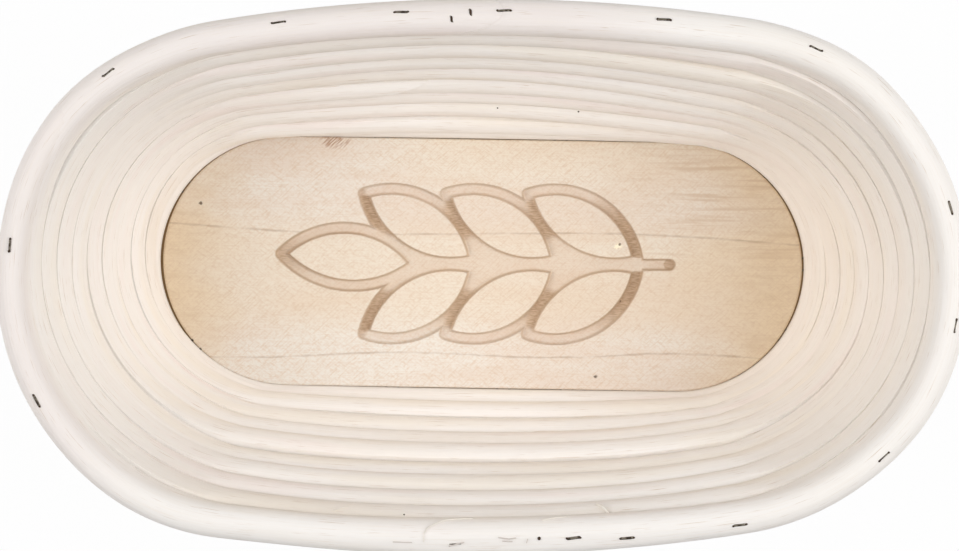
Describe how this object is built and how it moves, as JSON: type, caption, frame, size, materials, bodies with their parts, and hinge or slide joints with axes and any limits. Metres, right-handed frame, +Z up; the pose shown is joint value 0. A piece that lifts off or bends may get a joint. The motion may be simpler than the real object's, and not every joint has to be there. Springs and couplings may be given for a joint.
{
  "type": "proofing basket",
  "caption": "Oval bread proofing basket of wound and stapled rattan cane, flaring up from a wooden base board carved with an ear of grain.",
  "frame": {"origin": "on the table under the middle of the base board", "axes": "+Z up, X along the basket's length, the ear's tip towards -X"},
  "size_m": [0.283, 0.162, 0.0928],
  "materials": {
    "board_wood": "planed and sanded, unvarnished, with a routed ornament",
    "rattan": "raw peeled cane, pale and slightly fibrous",
    "staple_wire": "dull drawn wire, darkened"
  },
  "bodies": {
    "root": {"base_board": "board_wood", "lower_cane": "rattan", "upper_cane": "rattan", "rim_cane": "rattan", "board_staples": "staple_wire", "turn_2_staples": "staple_wire", "turn_3_staples": "staple_wire", "turn_4_staples": "staple_wire", "turn_5_staples": "staple_wire", "turn_6_staples": "staple_wire", "turn_7_staples": "staple_wire", "turn_8_staples": "staple_wire", "turn_9_staples": "staple_wire", "rim_staples": "staple_wire", "splice_staples": "staple_wire"}
  },
  "joints": []
}
